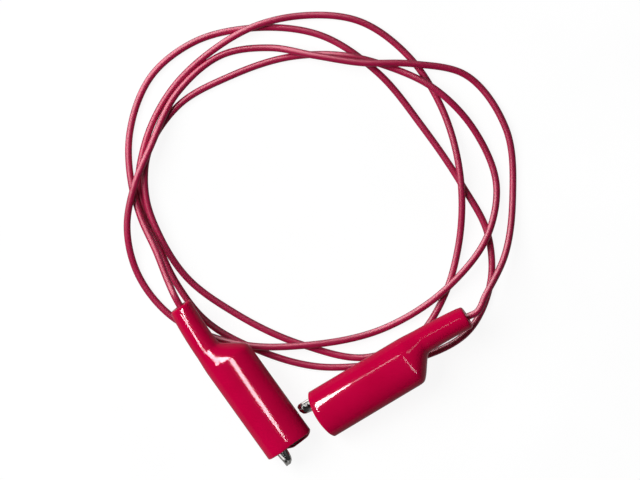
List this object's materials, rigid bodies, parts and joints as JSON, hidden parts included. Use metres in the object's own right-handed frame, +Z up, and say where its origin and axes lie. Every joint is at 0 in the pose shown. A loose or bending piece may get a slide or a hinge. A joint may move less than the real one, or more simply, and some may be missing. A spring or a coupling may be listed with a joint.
{
  "type": "alligator test lead",
  "caption": "Coiled test lead: flexible cord with a sprung toothed alligator clip in a flattened moulded boot at each end.",
  "frame": {"origin": "centre of the two clips' bounding box in plan, on the surface that the lead lies on", "axes": "+Z up from the surface; +X along the longer side of the two clips' box, from the clip that lies left in the picture to the other; +Y from the clips towards the far side of the coil"},
  "size_m": [0.1176, 0.1363, 0.0142],
  "materials": {
    "boot_vinyl": "smooth glossy soft vinyl",
    "cord_jacket": "satin flexible insulation",
    "nickel_plate": "bright nickel plate on stamped steel",
    "spring_steel": "drawn wire",
    "screw_steel": "plated, turned",
    "copper_strands": "bare twisted copper"
  },
  "bodies": {
    "lead": {"boot_a": "boot_vinyl", "fixed_jaw_a": "nickel_plate", "pivot_pin_a": "nickel_plate", "spring_a": "spring_steel", "terminal_screw_a": "screw_steel", "conductor_a": "copper_strands", "boot_b": "boot_vinyl", "fixed_jaw_b": "nickel_plate", "pivot_pin_b": "nickel_plate", "spring_b": "spring_steel", "terminal_screw_b": "screw_steel", "conductor_b": "copper_strands", "cord": "cord_jacket"},
    "jaw_a": {"moving_jaw_a": "nickel_plate"},
    "jaw_b": {"moving_jaw_b": "nickel_plate"}
  },
  "joints": [
    {"name": "jaw_a_open", "type": "hinge", "parent": "lead", "child": "jaw_a", "pos_m": [-0.02162, -0.00685, 0.00695], "axis": [0.0539, -0.075, 0.9957], "range_deg": [0, 20], "stiffness_Nm_per_rad": 0.05, "springref_deg": -45.84, "deforming": ["spring_a"]},
    {"name": "jaw_b_open", "type": "hinge", "parent": "lead", "child": "jaw_b", "pos_m": [0.01138, 0.00208, 0.00703], "axis": [-0.0836, -0.0503, 0.9952], "range_deg": [0, 20], "stiffness_Nm_per_rad": 0.05, "springref_deg": -45.84, "deforming": ["spring_b"]}
  ]
}
